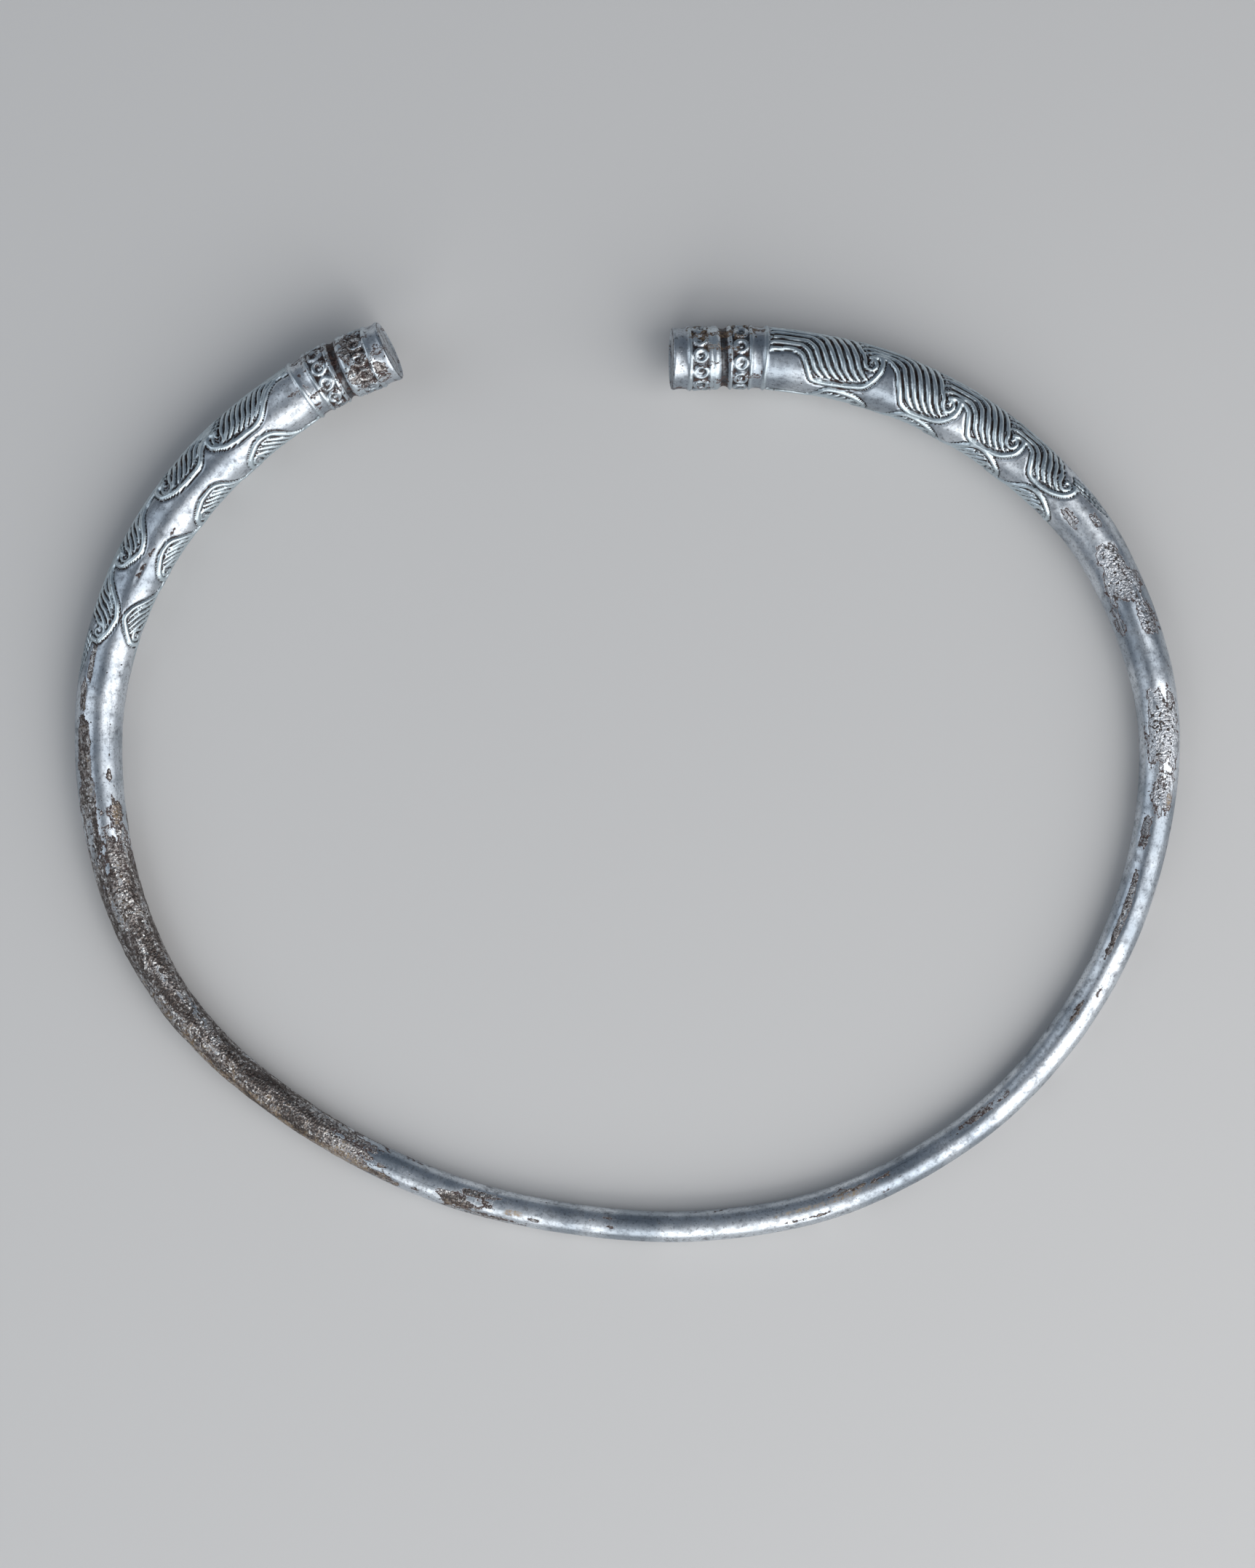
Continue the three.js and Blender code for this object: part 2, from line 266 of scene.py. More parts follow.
def bar_points(s, angle, height):
    """Points on the bar, a height above its plain surface."""
    reach = 0.25
    along = axis_point(np.minimum(s + reach, LENGTH)) - axis_point(np.maximum(s - reach, 0))
    along /= np.linalg.norm(along, axis=-1, keepdims=True)
    out = np.stack([-along[..., 1], along[..., 0], np.zeros_like(s)], axis=-1)
    out /= np.linalg.norm(out, axis=-1, keepdims=True)
    top = np.cross(along, out)
    radius = (bar_radius(s) + height)[..., None]
    turn = np.radians(angle)[..., None]
    return axis_point(s) + radius * (top * np.cos(turn) + out * np.sin(turn))


# ---- Carving: ribs and borders drawn as lines on the unrolled arm ----


class Carving:
    """The relief of an arm. Each line drawn on it is a rounded ridge with a groove to either side."""

    def __init__(self, distance, angle):
        self.shape = distance.shape
        self.points = np.column_stack([distance.ravel(), angle.ravel() * AROUND])
        count, swing = WOBBLE
        wobble = [noise.noise_vector((x * count, y * count, 0))[:2] for x, y in self.points]
        self.points += swing * np.array(wobble)
        self.nearest = np.full(len(self.points), FAR_AWAY)
        self.ridges = np.full(len(self.points), -GROOVE_DEPTH)

    def line(self, curve, half_width, rise):
        """Draws a ridge. half_width is a number, or one number for each point of the curve."""
        curve = np.asarray(curve, float)
        half_width = np.broadcast_to(half_width, len(curve)).astype(float)
        margin = (GROOVE_REACH + 0.1) * half_width.max()
        low, high = curve.min(axis=0) - margin, curve.max(axis=0) + margin
        inside = np.all((self.points > low) & (self.points < high), axis=1).nonzero()[0]
        start, step = curve[:-1], np.diff(curve, axis=0)
        best = np.full(len(inside), FAR_AWAY)
        for a, ab, width_a, width_b in zip(start, step, half_width, half_width[1:]):
            to_point = self.points[inside] - a
            t = np.clip(to_point @ ab / (ab @ ab + 1e-12), 0, 1)
            gap = np.hypot(*(to_point - t[:, None] * ab).T)
            best = np.minimum(best, gap / (width_a + t * (width_b - width_a)))
        profile = np.clip(1 - best**RIDGE_FLATNESS, 0, 1) ** RIDGE_ROUNDING
        ridge = -GROOVE_DEPTH + (GROOVE_DEPTH + rise) * profile
        self.nearest[inside] = np.minimum(self.nearest[inside], best)
        self.ridges[inside] = np.maximum(self.ridges[inside], ridge)

    def height(self):
        carved = 1 - smoothstep(1, GROOVE_REACH, self.nearest)
        return (self.ridges * carved).reshape(self.shape)

    def satin(self):
        """Where the ribs and borders are: they are duller than the polished bar."""
        return (1 - smoothstep(0.9, 1.1, self.nearest)).reshape(self.shape)


def border_curve(scroll, top, slope, start):
    """The raised border of a scroll: from its start down across the bar, along, and up beside its eye.

    Plain numbers are millimetres along the bar, and the factors are shares of the fall or the rise.
    """
    swing, eye, dip, eye_level = scroll
    fall, rise = top - dip, eye_level - dip
    run = fall / 2 / slope
    flat = min(swing + run + 1.3, eye - 2.9)
    belly = (flat + eye - 2.0) / 2
    return spline([
        *start,
        (swing - run - 0.9, top),
        (swing - run - 0.05, top - 0.09 * fall),
        (swing - 0.6 * run, top - 0.21 * fall),
        (swing, dip + 0.5 * fall),
        (swing + 0.6 * run, dip + 0.21 * fall),
        (swing + run + 0.1, dip + 0.07 * fall),
        (flat, dip + 0.01 * rise),
        *[(belly, dip + 0.05 * rise)] * (belly > flat + 0.8),
        (eye - 2.0, dip + 0.17 * rise),
        (eye - 0.85, dip + 0.42 * rise),
        (eye - 0.15, dip + 0.7 * rise),
        (eye, eye_level),
        (eye - 0.15, eye_level + 0.75),
    ], per_span=7)


def hook_curve(eye, eye_level, far, lean_back):
    """The last rib of a scroll, which curls up inside the border and makes the eye."""
    high = np.linspace(far, eye_level + 1.4, 4)
    return spline([
        *[(eye - HOOK_BACK - (level - eye_level) * lean_back, level) for level in high],
        (eye - 2.45, eye_level + 0.4),
        (eye - 2.25, eye_level - 0.4),
        (eye - 1.85, eye_level - 0.95),
        (eye - 1.3, eye_level - 1.1),
        (eye - 0.85, eye_level - 0.75),
        (eye - 0.72, eye_level - 0.1),
        (eye - 1.0, eye_level + 0.4),
        (eye - 1.4, eye_level + 0.35),
        (eye - 1.55, eye_level - 0.05),
    ], per_span=7)


def rib_curve(begin, top_level, across, foot):
    """A rib: level with the bar from its start, down across it, and out again to its foot."""
    foot_along, foot_level = foot
    bend = across(top_level)
    points = [(bend - 0.15, top_level - 0.12)]
    if begin < bend - 1.6:
        level_stretch = [(along, top_level) for along in np.linspace(begin + 1.0, bend - 0.9, 3)]
        points = [(begin, top_level - 0.4), *level_stretch, (bend - 0.15, top_level - 0.32)]
    for level in np.linspace(top_level - 0.95, foot_level + 1.3, 5):
        points.append((across(level), level))
    points += [(foot_along - 0.5, foot_level + 0.32), foot]
    return spline(points, per_span=6)


def rib_foot(across, border, level):
    """Where a rib ends: its foot curves on a little, and stops short of the border below it."""
    for _ in range(6):
        along = across(level) + FOOT_AHEAD
        level = np.interp(along, border[:, 0], border[:, 1]) + FOOT_GAP
    return along, level


def tail_curve(eye, top, number):
    """One of the lines in which a row ends. Each is shorter than the one before and fans out from it."""
    reach = TAIL_LENGTH * (1 - 0.2 * number)
    return spline([
        (eye - 0.3 - 0.3 * number, top - 0.3 + 0.62 * number),
        (eye + 0.15 * reach, top + 0.1 + 0.66 * number),
        (eye + 0.5 * reach, top + 0.75 + 0.6 * number),
        (eye + 0.8 * reach, top + 1.8 + 0.55 * number),
    ], per_span=6)


def carve_row(carving, scrolls, side, row):
    """One row of running scrolls. The inner row is the mirror image of the outer one."""
    sign = 1 if row == "outer" else -1
    mirror = np.array([1, sign])
    far = sign * FAR_SIDE[row] * AROUND
    top = sign * FIRST_LINE[row][side] * AROUND
    border_slope = BORDER_SLOPE[row][side]
    lean_back = 1 / RIB_SLOPE[row]
    rib_half_width = RIB_FULLNESS * RIB_PITCH[side]
    fan = 0
    under_collar = COLLAR_LENGTH - 0.2
    ribs_begin = lambda level: under_collar
    start = [(under_collar, top - 0.3), (COLLAR_LENGTH + 1.2, top - 0.1)]
    for swing, eye, dip, eye_angle in scrolls:
        swing = swing + SWING_SHIFT
        dip = sign * dip * AROUND
        eye_level = sign * (eye_angle + EYE_SHIFT[row]) * AROUND
        border = border_curve((swing, eye, dip, eye_level), top, border_slope, start)
        width = np.interp(border[:, 0], [swing - 2, eye - 2, eye], [0.85, 1.1, 0.9])
        carving.line(border * mirror, BORDER_HALF_WIDTH * width, BORDER_RISE)

        hook = hook_curve(eye, eye_level, far, lean_back)
        carving.line(hook * mirror, np.linspace(1.0, 0.7, len(hook)) * rib_half_width, RIB_RISE)

        middle = (top + dip) / 2
        span = eye - HOOK_BACK - swing + (eye_level - middle) * lean_back
        last = int(round(span / RIB_PITCH[side]))
        pitch = span / last
        shift = (top - dip) / 2 * (lean_back - 1 / border_slope)
        first = math.ceil(shift / pitch + 0.6)
        below = border[: int(np.argmax(border[:, 0]))]
        for k in range(first, last):
            across = lambda level: swing + k * pitch - (level - middle) * lean_back
            foot = rib_foot(across, below, dip + 1)
            share = (k - first + 1) / (last - first + 1)
            rib_top = top + (far - top) * (share + fan * share * (share - 1))
            rib = rib_curve(ribs_begin(rib_top), rib_top, across, foot)
            taper = np.interp(np.linspace(0, 1, len(rib)), [0, 0.1, 0.85, 1], [0.7, 1, 1, 0.5])
            carving.line(rib * mirror, rib_half_width * taper, RIB_RISE)

        top = eye_level + LINE_ABOVE_EYE
        ribs_begin = lambda level, eye=eye, base=eye_level: eye - RIBS_BACK - (level - base) * lean_back
        start = [(eye - 1.7, top - 0.35), (eye - 0.9, top - 0.02)]
        fan = FAN
    for number in range(TAIL_COUNT):
        tail = tail_curve(eye, top, number)
        carving.line(tail * mirror, np.linspace(0.34, 0.15, len(tail)), TAIL_RISE)


def collar_height(distance, angle):
    """Mouldings of a collar, with a ring of small curled circles in each scroll band."""
    height = np.zeros_like(distance)
    start = 0
    turned = 0
    for kind, width in COLLAR:
        t = np.clip((distance - start) / width, 0, 1)
        inside = (distance >= start) & (distance <= start + width)
        profile = SWELL[kind] * np.sin(np.pi * t) ** ROUNDNESS[kind]
        if kind == "scrolls":
            pitch = 360 / CIRCLE_COUNT
            around = (angle - turned) / pitch
            across = (around - np.round(around)) * pitch * AROUND
            along = distance - start - width / 2
            reach = np.hypot(across, along)
            turn = (np.arctan2(across, along) / (2 * np.pi)) % 1
            circle = np.clip(1 - ((reach - CIRCLE_RADIUS) / CIRCLE_HALF_WIDTH) ** 2, 0, 1)
            curl = np.clip(1 - ((reach - CIRCLE_RADIUS * (1 - turn)) / CURL_HALF_WIDTH) ** 2, 0, 1)
            raised = np.maximum(circle, 0.8 * curl) ** RIDGE_ROUNDING
            profile = profile - CIRCLE_SINK + (CIRCLE_SINK + CIRCLE_RISE) * raised
            turned += 0.5 * pitch
        height = np.where(inside, profile, height)
        start += width
    into_edge = np.clip(1 - distance / RIM_ROUNDING, 0, 1)
    return height - RIM_ROUNDING * (1 - np.sqrt(1 - into_edge**2))


def lean(side, distance, angle):
    """How far the mesh of an arm leans along the bar at each place, easing in and out at its two ends."""
    rows_end = SCROLLS[side]["outer"][-1][1] - LEAN_EASE / 2
    eased = smoothstep(COLLAR_LENGTH, COLLAR_LENGTH + LEAN_EASE, distance)
    eased = eased * (1 - smoothstep(rows_end, rows_end + LEAN_EASE, distance))
    return -LEAN * eased * np.minimum(np.abs(angle - BAND_MIDDLE[side]) * AROUND, LEAN_LIMIT)


# ---- Corrosion ----


def coverage(patches, s, angle):
    """How strongly patches cover each place, from 0 to 1, fading out across their edges."""
    angle = (angle + 180) % 360 - 180
    cover = np.zeros_like(s)
    for side, rows in patches.items():
        distance = s if side == "right" else LENGTH - s
        for start, stop, low, high, strength in rows:
            along = (distance - (start + stop) / 2) / ((stop - start) / 2)
            around = (angle - (low + high) / 2) / ((high - low) / 2)
            reach = (np.abs(along) ** 3 + np.abs(around) ** 3) ** (1 / 3)
            cover = np.maximum(cover, strength * (1 - smoothstep(*PATCH_EDGE, reach)))
    return cover


def straightened(s, angle, height):
    """Where each place would be if the bar were straight, so that patterns run along it."""
    turn = np.radians(angle)
    radius = bar_radius(s) + height
    return np.stack([s, radius * np.sin(turn), radius * np.cos(turn)], axis=-1)


def unevenness(crust, straight):
    """The bar's gentle dents, and the lumps that corrosion leaves where it eats into the silver."""
    dents, dent_height = DENTS
    height = np.array([dent_height * noise.noise(Vector(place) * dents) for place in straight])
    height -= CRUST_SINK * smoothstep(0.3, 0.6, crust)
    for i in np.flatnonzero(crust > LUMPS_FROM):
        lumps = sum(rise * noise.noise(Vector(straight[i]) * count) for count, rise in LUMPS)
        height[i] += lumps * min(1, 2 * (crust[i] - LUMPS_FROM))
    return height


# ---- The skin: a grid for each stretch of the bar ----


def scroll_angles():
    """Angles round a carved arm: closely spaced on the rows, widely on the smooth underside."""
    low, high = UNDERSIDE
    rows = np.linspace(low, high, int((high - low) * AROUND / SCROLL_SPACING))
    hidden = 360 - (high - low)
    steps = int(hidden * AROUND / UNDERSIDE_SPACING)
    return np.concatenate([rows, high + hidden * np.arange(1, steps) / steps])


def even_angles(sides):
    return -180 + (np.arange(sides) + 0.5) * 360 / sides


# A grid is (distance, angle, height, satin, hollow_shade_and_tarnish): each place along the bar and round
# it, its height above the plain bar, how dull it is and how much painted shade, with some rusty tarnish,
# darkens it, the last two from 0 to 1.


def disc_grid(end):
    """The sunk disc that closes the bar, and the rim round it."""
    angles = even_angles(COLLAR_SIDES)
    radius = bar_radius(end)
    disc_radii = np.linspace(DISC_CENTRE, radius - RIM_WIDTH - 0.15, DISC_RINGS)
    face = [(DISC_INSET, r - radius) for r in disc_radii]
    face += [(0.05, -RIM_WIDTH), (0, RIM_BEVEL - RIM_WIDTH), (0, -RIM_ROUNDING)]
    distance = np.array([row[0] for row in face])[:, None] + 0 * angles
    height = np.array([row[1] for row in face])[:, None] + 0 * angles
    # The sunk face of the disc is darkened a little with painted shade.
    return distance, angles + 0 * distance, height, 0 * height, DISC_SHADE_AND_TARNISH * (distance == DISC_INSET)


def collar_grid():
    """The mouldings of a collar, duller on their tops and darkened in their hollows by painted shade with
    some rusty tarnish.
    """
    along = np.linspace(0.03, COLLAR_LENGTH, int(COLLAR_LENGTH / COLLAR_STEP))
    distance, angle = np.meshgrid(along, even_angles(COLLAR_SIDES), indexing="ij")
    height = collar_height(distance, angle)
    satin = COLLAR_SATIN * smoothstep(0.02, 0.12, height)
    # Painted shade, with some rusty tarnish, darkens the collar's hollows, the deeper the darker.
    hollow_shade_and_tarnish = COLLAR_SHADE_AND_TARNISH - COLLAR_SHADE_AND_TARNISH * smoothstep(-0.22, -0.04, height)
    return distance, angle, height, satin, hollow_shade_and_tarnish


def carved_grid(side):
    """The carved stretch of an arm, out to where its tails end."""
    scrolls = SCROLLS[side]
    stop = scrolls["outer"][-1][1] + TAIL_LENGTH + 3
    along = np.linspace(COLLAR_LENGTH + 0.1, stop, int((stop - COLLAR_LENGTH) / SCROLL_STEP))
    distance, angle = np.meshgrid(along, scroll_angles(), indexing="ij")
    turn = (angle + 180) % 360 - 180
    distance = distance + lean(side, distance, turn)
    carving = Carving(distance, turn)
    for row in ("outer", "inner"):
        carve_row(carving, scrolls[row], side, row)
    height = carving.height()
    # The last field darkens the grooves between the ribs with painted shade, the deeper the darker.
    return distance, angle, height, carving.satin(), 1 - smoothstep(-0.26, -0.04, height)


def hoop_grid(start, stop):
    """The smooth bar between the two carved arms."""
    along = np.linspace(start, stop, int((stop - start) / HOOP_STEP))
    distance, angle = np.meshgrid(along, even_angles(HOOP_SIDES), indexing="ij")
    plain = np.zeros_like(distance)
    return distance, angle, plain, plain, plain


def bar_grids():
    """The grids of the whole bar in order, from the right disc round the back to the left one."""
    right = [disc_grid(0), collar_grid(), carved_grid("right")]
    left = [disc_grid(LENGTH), collar_grid(), carved_grid("left")]
    hoop = hoop_grid(right[-1][0][-1, 0] + HOOP_STEP, LENGTH - left[-1][0][-1, 0] - HOOP_STEP)
    turned = [(LENGTH - distance[::-1], *[field[::-1] for field in fields]) for distance, *fields in left]
    return [*right, hoop, *reversed(turned)]


def grid_faces(rows, sides, start):
    """Four-sided faces of a grid that closes round the bar, whose first point has the number start."""
    i, j = np.meshgrid(np.arange(rows - 1), np.arange(sides), indexing="ij")
    here, beside = start + i * sides + j, start + i * sides + (j + 1) % sides
    return np.stack([here, here + sides, beside + sides, beside], axis=-1).reshape(-1, 4).tolist()


def stitch(near_angles, near_start, far_angles, far_start):
    """Triangles between two rings of different numbers of points."""
    triangles = []
    near_count, far_count = len(near_angles), len(far_angles)
    near_turn = lambda i: near_angles[i % near_count] + 360 * (i // near_count)
    far_turn = lambda j: far_angles[j % far_count] + 360 * (j // far_count)
    i = j = 0
    while i < near_count or j < far_count:
        near_is_next = near_turn(i) + near_turn(i + 1) <= far_turn(j) + far_turn(j + 1)
        a, b = near_start + i % near_count, far_start + j % far_count
        if j >= far_count or (i < near_count and near_is_next):
            triangles.append((a, b, near_start + (i + 1) % near_count))
            i += 1
        else:
            triangles.append((a, b, far_start + (j + 1) % far_count))
            j += 1
    return triangles


def bar_skin():
    """Points and faces of the closed skin, and what the material needs to know at each point."""
    points, faces, start = [], [], 0
    fields = {"satin": [], "hollow_shade_and_tarnish": [], "crust": [], "stain": [], "rubbed": [], "straight": []}
    previous_ring = None
    for s, angle, height, satin, hollow_shade_and_tarnish in bar_grids():
        rows, sides = s.shape
        straight = straightened(s, angle, height).reshape(-1, 3)
        crust = coverage(CRUST, s, angle).ravel()
        worn = height - INSET + unevenness(crust, straight).reshape(s.shape)
        points.append(bar_points(s, angle, worn).reshape(-1, 3))
        fields["satin"].append(satin.ravel())
        fields["hollow_shade_and_tarnish"].append(hollow_shade_and_tarnish.ravel())
        fields["crust"].append(crust)
        fields["stain"].append(coverage(STAIN, s, angle).ravel())
        fields["rubbed"].append(coverage(RUBBED, s, angle).ravel())
        fields["straight"].append(straight)
        if previous_ring is not None:
            faces += stitch(*previous_ring, angle[0], start)
        faces += grid_faces(rows, sides, start)
        previous_ring = (angle[-1], start + (rows - 1) * sides)
        start += rows * sides
    first_ring = np.arange(COLLAR_SIDES).tolist()
    last_ring = (start - COLLAR_SIDES + np.arange(COLLAR_SIDES)).tolist()
    faces += [first_ring, last_ring[::-1]]
    return np.vstack(points), faces, {name: np.concatenate(rows) for name, rows in fields.items()}


def torc_mesh():
    points, faces, fields = bar_skin()
    points[:, 2] = np.maximum(points[:, 2], 0)    # the small worn flats it lies on
    middle = (points.min(axis=0) + points.max(axis=0)) / 2
    points[:, :2] -= middle[:2]

    mesh = bpy.data.meshes.new("torc_silver")
    mesh.from_pydata((points * MM).tolist(), [], faces)
    mesh.validate()
    mesh.shade_smooth()
    straight = fields.pop("straight")
    for name, values in fields.items():
        mesh.attributes.new(name, "FLOAT", "POINT").data.foreach_set("value", values)
    mesh.attributes.new("straight", "FLOAT_VECTOR", "POINT").data.foreach_set("vector", straight.ravel())
    return mesh


# ---- Silver ----

BRIGHT_SILVER = (0.71, 0.76, 0.81, 1)
DULL_SILVER = (0.36, 0.41, 0.465, 1)
SATIN_SILVER = (0.66, 0.76, 0.81, 1)
TARNISH = (0.10, 0.11, 0.13, 1)
# Near-black painted shade for the grooves and hollows.
PAINTED_HOLLOW_SHADE = (0.030, 0.028, 0.030, 1)
CRUST_DARK = (0.055, 0.045, 0.042, 1)
CRUST_GREY = (0.15, 0.13, 0.12, 1)
CRUST_PALE = (0.33, 0.31, 0.305, 1)
CRUST_BRIGHT = (0.60, 0.62, 0.66, 1)
CRYSTAL = (0.70, 0.71, 0.71, 1)
RUSTY = (0.075, 0.045, 0.04, 1)
BROWN = (0.19, 0.105, 0.06, 1)
OCHRE = (0.36, 0.27, 0.16, 1)
RUBBED_PITTING = 0.55              # how much of the rubbed crust is pitted rather than smooth silver
CRYSTAL_ROUGHNESS = 0.18
DIRT_METALLIC = 0.3


class Shading:
    """Short forms for the nodes that a material is made of. Lengths in its patterns are millimetres."""

    def __init__(self, material):
        material.use_nodes = True
        self.tree = material.node_tree
        self.shader = self.tree.nodes["Principled BSDF"]

    def node(self, kind, settings, sockets):
        node = self.tree.nodes.new(kind)
        for name, value in settings.items():
            setattr(node, name, value)
        for name, value in sockets.items():
            self.feed(node.inputs[name], value)
        return node

    def feed(self, socket, value):
        if isinstance(value, bpy.types.NodeSocket):
            self.tree.links.new(value, socket)
        else:
            socket.default_value = value

    def attribute(self, name, output="Fac"):
        return self.node("ShaderNodeAttribute", {"attribute_name": name}, {}).outputs[output]

    def stretched(self, place, scale):
        return self.node("ShaderNodeMapping", {}, {"Vector": place, "Scale": scale}).outputs["Vector"]

    def clouds(self, place, size, detail=3, roughness=0.55):
        sockets = {"Vector": place, "Scale": 1 / size, "Detail": detail, "Roughness": roughness}
        return self.node("ShaderNodeTexNoise", {}, sockets).outputs["Fac"]

    def cells(self, place, size, output):
        return self.node("ShaderNodeTexVoronoi", {}, {"Vector": place, "Scale": 1 / size}).outputs[output]

    def ramp(self, value, low, high, start=0, end=1):
        settings = {"interpolation_type": "SMOOTHSTEP"}
        sockets = {"Value": value, "From Min": low, "From Max": high, "To Min": start, "To Max": end}
        return self.node("ShaderNodeMapRange", settings, sockets).outputs["Result"]

    def math(self, operation, first, second):
        node = self.node("ShaderNodeMath", {"operation": operation}, {})
        self.feed(node.inputs[0], first)
        self.feed(node.inputs[1], second)
        return node.outputs["Value"]

    def add(self, first, second):
        return self.math("ADD", first, second)

    def times(self, first, second):
        return self.math("MULTIPLY", first, second)

    def centred(self, value, amount):
        """A pattern that averages a half, swinging evenly about nothing."""
        return self.times(self.add(value, -0.5), amount)

    def mix(self, share, first, second, kind="RGBA"):
        node = self.node("ShaderNodeMix", {"data_type": kind}, {"Factor": share, "A": first, "B": second})
        return node.outputs["Result"]


def silver_patterns(paint):
    """What the mesh says about each place, and the patterns that the layers of patina are made from."""
    place = paint.attribute("straight", "Vector")
    along_bar = lambda scale, detail: paint.clouds(paint.stretched(place, scale), 1, detail)
    return SimpleNamespace(
        satin=paint.attribute("satin"),
        hollow_shade_and_tarnish=paint.attribute("hollow_shade_and_tarnish"),
        crust=paint.attribute("crust"),
        stain=paint.attribute("stain"),
        rubbed=paint.attribute("rubbed"),
        broad=paint.clouds(place, 9, detail=2),
        patchy=paint.clouds(place, 1.3, detail=6, roughness=0.65),
        speckle=paint.clouds(place, 0.5, detail=1),
        grain=paint.clouds(place, 0.32, detail=3),
        streaks=along_bar((0.14, 0.75, 0.75), 3),
        ripples=along_bar((1.6, 0.35, 0.35), 2),
        scratches=along_bar((0.06, 7, 7), 2),
        facets=paint.cells(place, 0.34, "Distance"),
        facet_shades=paint.cells(place, 0.30, "Color"),
    )


def silver_covers(paint, pattern):
    """Where each layer of patina covers the silver, from 0 to 1."""
    patchy, grain, streaks = pattern.patchy, pattern.grain, pattern.streaks

    # The crust lies in ragged patches with rusty edges, with islands of whole silver in them.
    ragged = paint.add(pattern.crust, paint.add(paint.centred(patchy, 1.3), paint.centred(streaks, 1.6)))
    ragged = paint.add(ragged, paint.times(pattern.satin, -0.15))
    islands = paint.ramp(paint.add(streaks, paint.centred(patchy, 0.5)), 0.59, 0.67, 0, 0.85)
    eaten = paint.times(paint.ramp(ragged, 0.44, 0.56), paint.math("SUBTRACT", 1, islands))
    outline = paint.times(paint.ramp(ragged, 0.39, 0.46), paint.ramp(ragged, 0.50, 0.60, 1, 0))
    outline = paint.times(outline, paint.ramp(grain, 0.33, 0.5))

    # Pale glinting crystals in it, gathered in streaks along the bar.
    crystals = paint.ramp(pattern.facet_shades, 0.62, 0.72, 0, 0.8)
    crystals = paint.times(crystals, paint.ramp(streaks, 0.44, 0.56, 0.2, 1))

    # Dark specks, most of them near the crust, and a brown film that keeps off the carving.
    specks = paint.ramp(paint.add(pattern.speckle, paint.times(pattern.crust, 0.2)), 0.76, 0.80)
    brown = paint.add(pattern.stain, paint.add(paint.centred(patchy, 1.8), paint.centred(streaks, 1.4)))
    brown = paint.times(paint.ramp(brown, 0.45, 0.95), paint.ramp(pattern.satin, 0, 1, 0.75, 0.15))
    brown = paint.times(brown, paint.ramp(grain, 0.36, 0.6, 0.3, 1))

    # Painted shade in the grooves and hollows, the deeper the darker, with some rusty tarnish.
    shade_and_tarnish_cover = paint.ramp(paint.add(pattern.hollow_shade_and_tarnish, paint.centred(grain, 0.4)), 0.12, 0.6)
    shade_and_tarnish_cover = paint.times(shade_and_tarnish_cover, paint.ramp(patchy, 0.38, 0.58, 0.82, 1))

    dirt = paint.math("MAXIMUM", brown, paint.math("MAXIMUM", outline, specks))
    return SimpleNamespace(
        eaten=eaten, outline=outline, crystals=crystals, specks=specks, brown=brown, shade_and_tarnish_cover=shade_and_tarnish_cover, dirt=dirt
    )


def silver_colour(paint, pattern, cover):
    """Tarnished silver, then the crust, the painted shade and tarnish in the hollows, and the dirt on top of
    them.
    """
    patchy, grain, streaks = pattern.patchy, pattern.grain, pattern.streaks

    silver = paint.mix(paint.ramp(pattern.broad, 0.35, 0.65), BRIGHT_SILVER, DULL_SILVER)
    silver = paint.mix(paint.ramp(patchy, 0.45, 0.78, 0, 0.8), silver, TARNISH)
    silver = paint.mix(paint.ramp(pattern.scratches, 0.6, 0.75, 0, 0.4), silver, TARNISH)
    silver = paint.mix(paint.ramp(grain, 0.52, 0.72, 0, 0.55), silver, TARNISH)
    silver = paint.mix(paint.times(pattern.satin, 0.85), silver, SATIN_SILVER)

    pale = paint.ramp(paint.add(patchy, paint.centred(streaks, 1.3)), 0.38, 0.6)
    crust = paint.mix(pale, CRUST_GREY, CRUST_PALE)
    crust = paint.mix(paint.ramp(streaks, 0.34, 0.48, 0.85, 0), crust, CRUST_DARK)
    crust = paint.mix(paint.ramp(grain, 0.50, 0.62, 0, 0.85), crust, CRUST_DARK)
    crust = paint.mix(cover.crystals, crust, CRYSTAL)
    pitted = paint.mix(paint.ramp(streaks, 0.42, 0.56, 0.7, 0.15), CRUST_BRIGHT, CRUST_GREY)
    pitted = paint.mix(paint.ramp(grain, 0.52, 0.66, 0, 0.45), pitted, CRUST_GREY)
    crust = paint.mix(pattern.rubbed, crust, paint.mix(RUBBED_PITTING, silver, pitted))

    # The hollows' colour: near-black painted shade, turning to rusty tarnish in patches.
    hollow_shade_and_tarnish = paint.mix(paint.ramp(patchy, 0.42, 0.6, 0, 0.5), PAINTED_HOLLOW_SHADE, RUSTY)
    film = paint.mix(paint.ramp(grain, 0.4, 0.62), BROWN, OCHRE)
    colour = paint.mix(cover.eaten, silver, crust)
    colour = paint.mix(cover.shade_and_tarnish_cover, colour, hollow_shade_and_tarnish)
    colour = paint.mix(cover.outline, colour, RUSTY)
    colour = paint.mix(cover.specks, colour, CRUST_DARK)
    return paint.mix(cover.brown, colour, film)


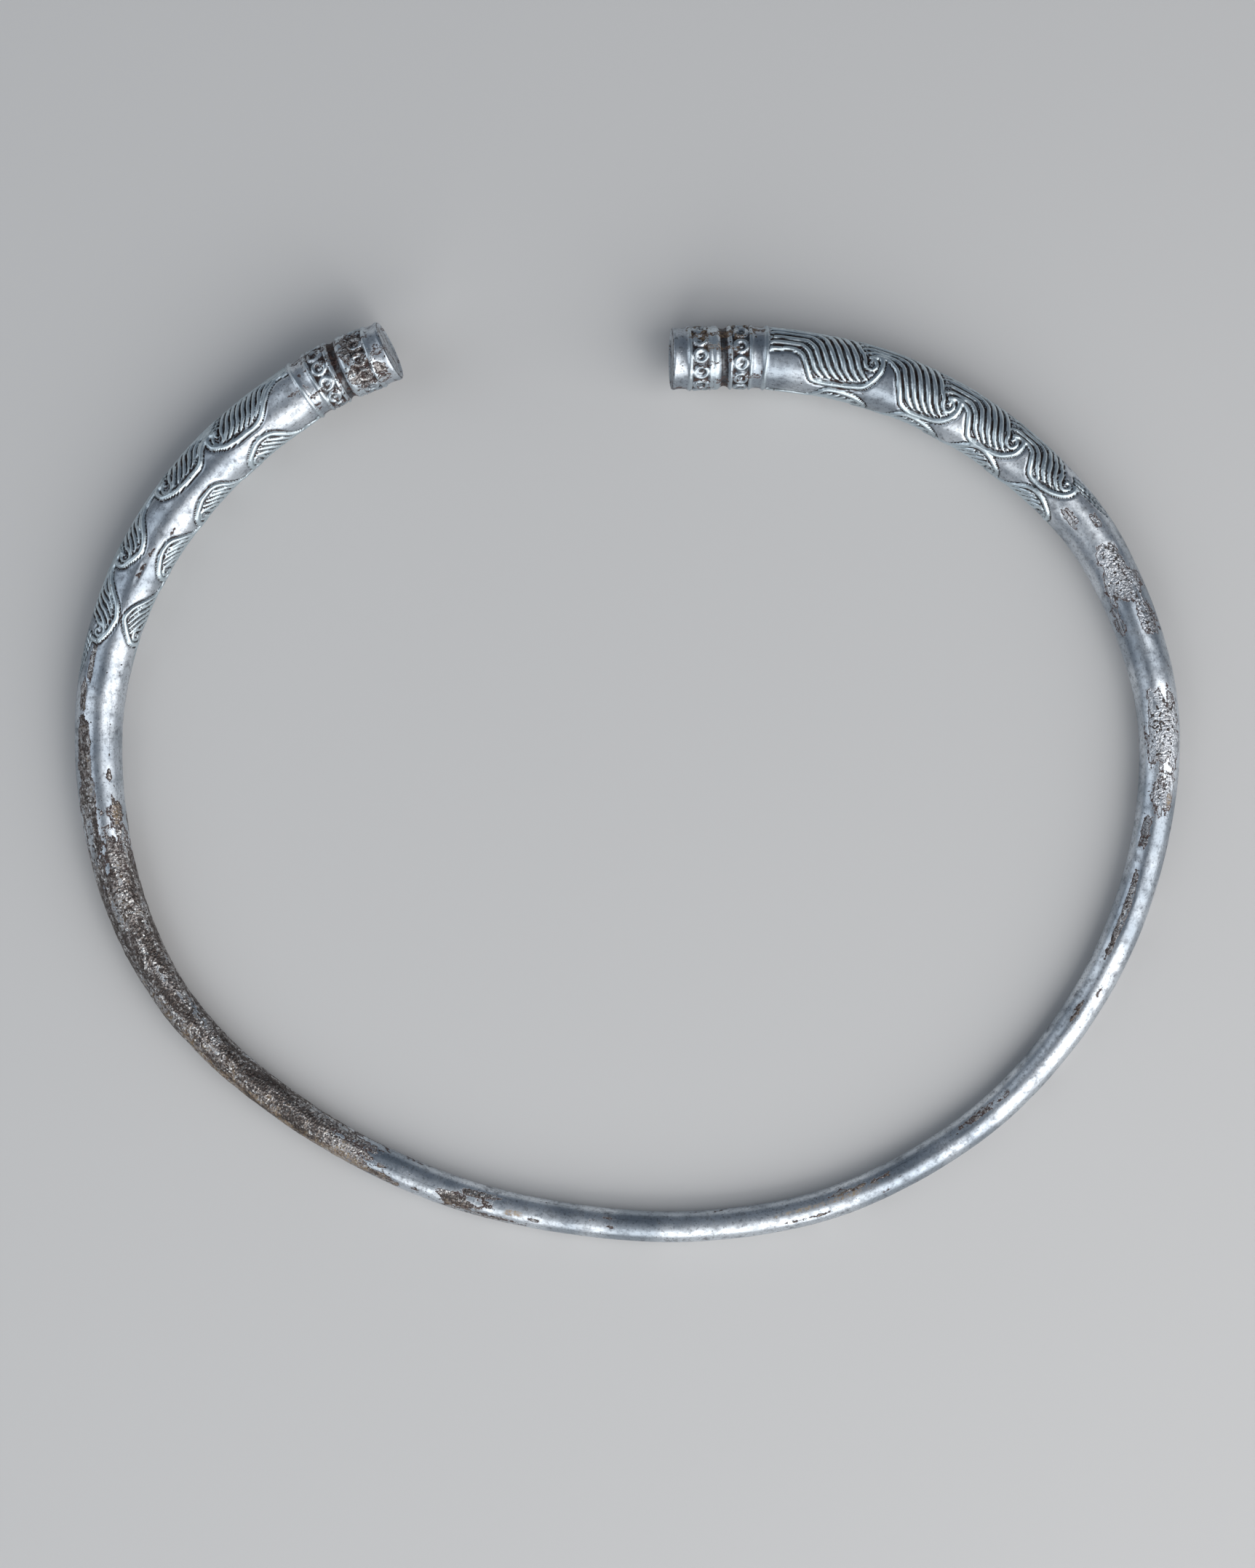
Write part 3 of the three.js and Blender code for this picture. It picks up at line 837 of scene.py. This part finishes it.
def silver_roughness(paint, pattern, cover):
    patchy, grain = pattern.patchy, pattern.grain
    roughness = paint.ramp(patchy, 0.35, 0.7, 0.3, 0.46)
    for share, layer in (
        (pattern.satin, paint.ramp(grain, 0.35, 0.65, 0.3, 0.45)),
        (cover.shade_and_tarnish_cover, paint.ramp(grain, 0.35, 0.65, 0.42, 0.6)),
        (cover.eaten, paint.ramp(grain, 0.3, 0.6, 0.2, 0.5)),
        (paint.times(cover.eaten, cover.crystals), CRYSTAL_ROUGHNESS),
        (cover.dirt, paint.ramp(patchy, 0.35, 0.65, 0.45, 0.65)),
    ):
        roughness = paint.mix(share, roughness, layer, "FLOAT")
    return roughness


def silver_relief(paint, pattern, cover):
    """Fine relief in millimetres, under what the mesh can carry: it only tilts the light."""
    patchy, grain = pattern.patchy, pattern.grain
    height = paint.add(paint.times(patchy, 0.022), paint.times(pattern.ripples, 0.012))
    height = paint.add(height, paint.times(pattern.scratches, -0.003))
    height = paint.add(height, paint.times(grain, paint.ramp(pattern.satin, 0, 1, 0.01, 0.03)))
    rubble = paint.add(paint.times(pattern.facets, 0.10), paint.times(grain, 0.12))
    height = paint.add(height, paint.times(cover.eaten, paint.add(rubble, -0.06)))
    height = paint.add(height, paint.times(cover.outline, -0.02))
    return paint.add(height, paint.times(cover.specks, -0.03))


def silver_material():
    material = bpy.data.materials.new("aged_silver")
    paint = Shading(material)
    pattern = silver_patterns(paint)
    cover = silver_covers(paint, pattern)
    relief = silver_relief(paint, pattern, cover)
    bump = paint.node("ShaderNodeBump", {}, {"Height": relief, "Strength": 1, "Distance": MM})
    sockets = paint.shader.inputs
    paint.feed(sockets["Base Color"], silver_colour(paint, pattern, cover))
    paint.feed(sockets["Metallic"], paint.ramp(cover.dirt, 0, 1, 1, DIRT_METALLIC))
    paint.feed(sockets["Roughness"], silver_roughness(paint, pattern, cover))
    paint.feed(sockets["Normal"], bump.outputs["Normal"])
    return material


torc = bpy.data.objects.new("torc_body", torc_mesh())
bpy.context.collection.objects.link(torc)
torc.data.materials.append(silver_material())
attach(torc, "root")
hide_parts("torc")


# ---- Studio ----

FLOOR_REACH = 3.0
FLOOR_GREY = (0.58, 0.58, 0.58, 1)
FLOOR_ROUGHNESS = 0.9
SURROUNDINGS = (0.13, 0.15, 0.18, 1)

# Each softbox faces the torc: [name, place, width and height, power, colour].
SOFTBOXES = [
    ("key", (0.54, -0.26, 0.50), (0.80, 1.10), 5.4, (1.0, 0.98, 0.96)),
    ("front", (0.06, -0.62, 0.42), (0.95, 0.60), 3.2, (1.0, 0.99, 0.97)),
    ("fill", (-0.60, 0.08, 0.50), (0.55, 0.70), 1.3, (0.92, 0.96, 1.0)),
]

# The camera looks straight down on the torc.
FRAME_WIDTH = 0.171
PHOTO_WIDTH, PHOTO_HEIGHT = 1725, 2156
LENS = 100
SENSOR = 36


def add_floor():
    mesh = bpy.data.meshes.new("floor")
    corners = [(-FLOOR_REACH, -FLOOR_REACH, 0), (FLOOR_REACH, -FLOOR_REACH, 0)]
    corners += [(FLOOR_REACH, FLOOR_REACH, 0), (-FLOOR_REACH, FLOOR_REACH, 0)]
    mesh.from_pydata(corners, [], [(0, 1, 2, 3)])
    floor = bpy.data.objects.new("floor", mesh)
    bpy.context.collection.objects.link(floor)
    material = bpy.data.materials.new("pale_floor")
    material.use_nodes = True
    shader = material.node_tree.nodes["Principled BSDF"]
    shader.inputs["Base Color"].default_value = FLOOR_GREY
    shader.inputs["Roughness"].default_value = FLOOR_ROUGHNESS
    mesh.materials.append(material)


def add_softbox(name, place, size, power, colour):
    data = bpy.data.lights.new(name, "AREA")
    data.shape = "RECTANGLE"
    data.size, data.size_y = size
    data.energy = power
    data.color = colour
    light = bpy.data.objects.new(name, data)
    light.location = place
    light.rotation_euler = Vector(place).to_track_quat("Z", "Y").to_euler()
    bpy.context.collection.objects.link(light)


def add_world():
    world = bpy.data.worlds.new("studio")
    world.use_nodes = True
    background = world.node_tree.nodes["Background"]
    background.inputs["Color"].default_value = SURROUNDINGS
    background.inputs["Strength"].default_value = 1
    bpy.context.scene.world = world


def add_camera():
    data = bpy.data.cameras.new("camera")
    data.lens = LENS
    data.sensor_width = SENSOR
    camera = bpy.data.objects.new("camera", data)
    frame_height = FRAME_WIDTH * PHOTO_HEIGHT / PHOTO_WIDTH
    camera.location = (0, 0, frame_height * LENS / SENSOR)
    bpy.context.collection.objects.link(camera)
    bpy.context.scene.camera = camera


add_floor()
for softbox in SOFTBOXES:
    add_softbox(*softbox)
add_world()
add_camera()
bpy.context.scene.view_settings.view_transform = "Standard"
